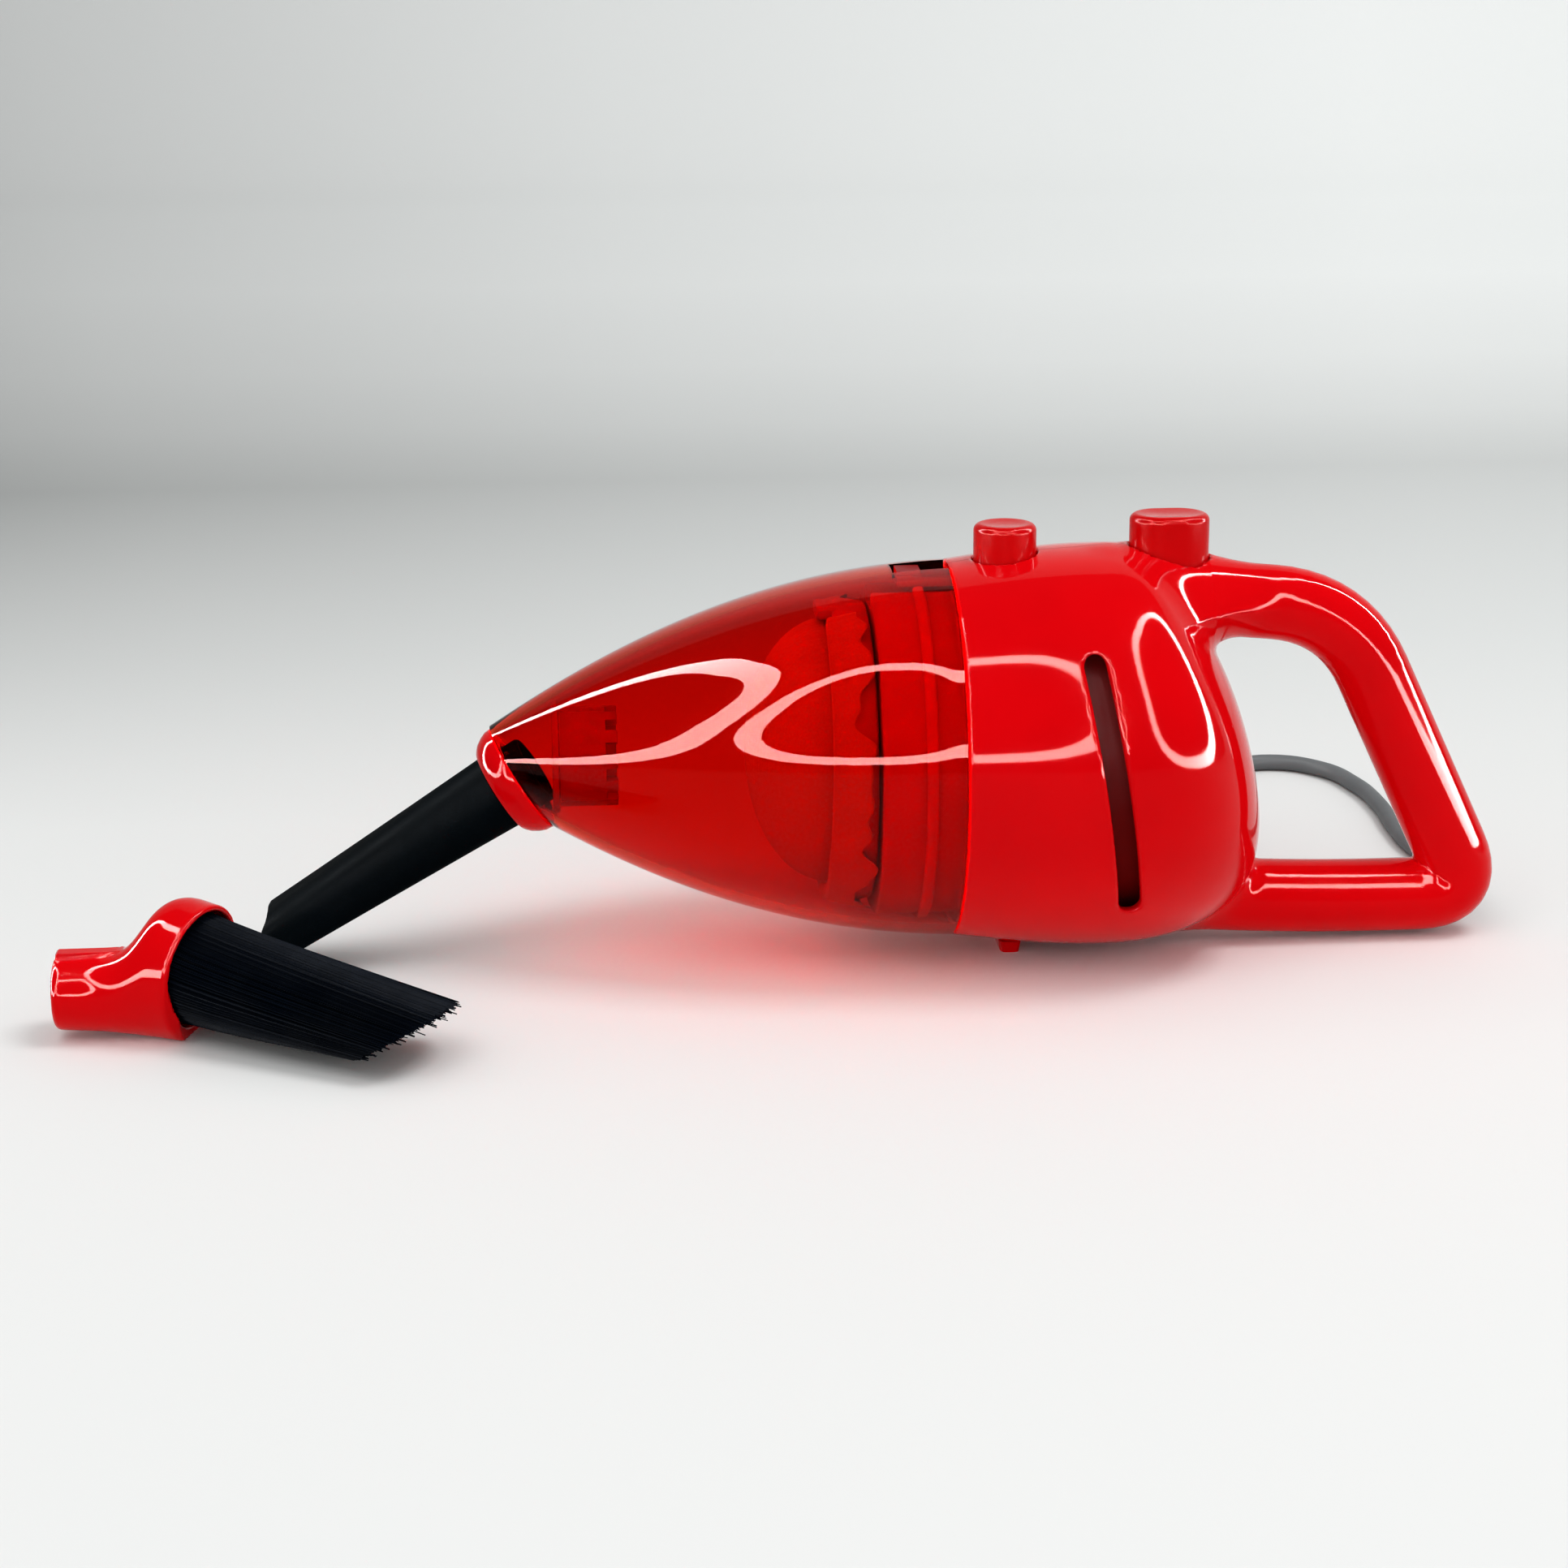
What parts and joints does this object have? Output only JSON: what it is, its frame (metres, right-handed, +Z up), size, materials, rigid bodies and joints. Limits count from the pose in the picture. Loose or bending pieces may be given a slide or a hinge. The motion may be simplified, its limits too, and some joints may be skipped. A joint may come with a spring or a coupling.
{
  "type": "mini hand vacuum",
  "caption": "Small corded desktop hand vacuum with a clear dust bowl, a looped handle, a crevice tool and a loose dusting brush.",
  "frame": {"origin": "centre of the underside of the belly foot, on the table that the vacuum stands on", "axes": "+X towards the handle, +Y to the vacuum's far side, +Z up; the two housing halves meet at y = 0"},
  "size_m": [0.2332, 0.1956, 0.0714],
  "materials": {
    "red_gloss": "gloss",
    "red_matt": "satin",
    "red_clear": "clear gloss",
    "black_tool": "satin",
    "bristle": "satin",
    "black_rubber": "matte",
    "red_silicone": "matte",
    "filter_cloth": "non-woven",
    "grey_cord": "satin",
    "steel": "brushed",
    "zinc_steel": "plated",
    "white_plastic": "satin",
    "board": "satin",
    "black_plastic": "satin",
    "red_wire": "satin",
    "black_wire": "satin"
  },
  "bodies": {
    "housing": {"left_housing": "red_gloss", "right_housing": "red_gloss", "housing_screw_1": "steel", "housing_screw_2": "steel", "housing_screw_3": "steel", "housing_screw_4": "steel", "belly_foot": "red_gloss", "fan_cover": "red_matt", "bowl_seal": "red_silicone", "motor_mount": "white_plastic", "motor_can": "zinc_steel", "motor_end_cap": "white_plastic", "circuit_board": "board", "switch_body": "black_plastic", "lead_wire_red": "red_wire", "lead_wire_black": "black_wire", "supply_wire": "grey_cord", "latch_spring": "steel", "power_spring": "steel", "strain_relief": "black_rubber", "cord_lead": "grey_cord", "cord_coil": "grey_cord", "cord_tail": "grey_cord", "coil_tie": "black_plastic", "plug_body": "black_plastic", "plug_shell": "steel", "plug_tongue": "white_plastic"},
    "bowl": {"dust_bowl": "red_clear", "inlet_duct": "red_clear", "nozzle_ring": "red_gloss"},
    "flap": {"inlet_flap": "red_silicone"},
    "tool": {"crevice_tool": "black_tool"},
    "filter": {"filter_frame": "red_matt", "filter_bag": "filter_cloth"},
    "latch": {"release_button": "red_gloss", "latch_arm": "red_matt"},
    "power": {"power_button": "red_gloss"},
    "rotor": {"motor_shaft": "steel", "impeller": "white_plastic"},
    "brush": {"brush_collar": "red_gloss", "brush_bristles": "bristle"}
  },
  "joints": [
    {"name": "bowl_release", "type": "slide", "parent": "housing", "child": "bowl", "axis": [-1, 0, 0], "range_m": [0, 0.035]},
    {"name": "flap_swing", "type": "hinge", "parent": "bowl", "child": "flap", "pos_m": [-0.069, 0, 0.0393], "axis": [0, -1, 0], "range_deg": [0, 60]},
    {"name": "tool_pull", "type": "slide", "parent": "bowl", "child": "tool", "axis": [-0.8526, 0, -0.5225], "range_m": [0, 0.02]},
    {"name": "filter_pull", "type": "slide", "parent": "housing", "child": "filter", "axis": [-1, 0, 0], "range_m": [0, 0.008]},
    {"name": "release_press", "type": "slide", "parent": "housing", "child": "latch", "axis": [0, 0, -1], "range_m": [0, 0.002], "stiffness_N_per_m": 800, "springref_m": -0.001, "deforming": ["latch_spring"]},
    {"name": "power_press", "type": "slide", "parent": "housing", "child": "power", "axis": [0, 0, -1], "range_m": [0, 0.0013], "stiffness_N_per_m": 900, "springref_m": -0.001, "deforming": ["power_spring"]},
    {"name": "rotor_spin", "type": "hinge", "parent": "housing", "child": "rotor", "pos_m": [0, 0, 0.0339], "axis": [1, 0, 0], "continuous": true},
    {"name": "brush_lift", "type": "slide", "parent": "housing", "child": "brush", "axis": [0, 0, 1], "range_m": [0, 0.06]}
  ]
}
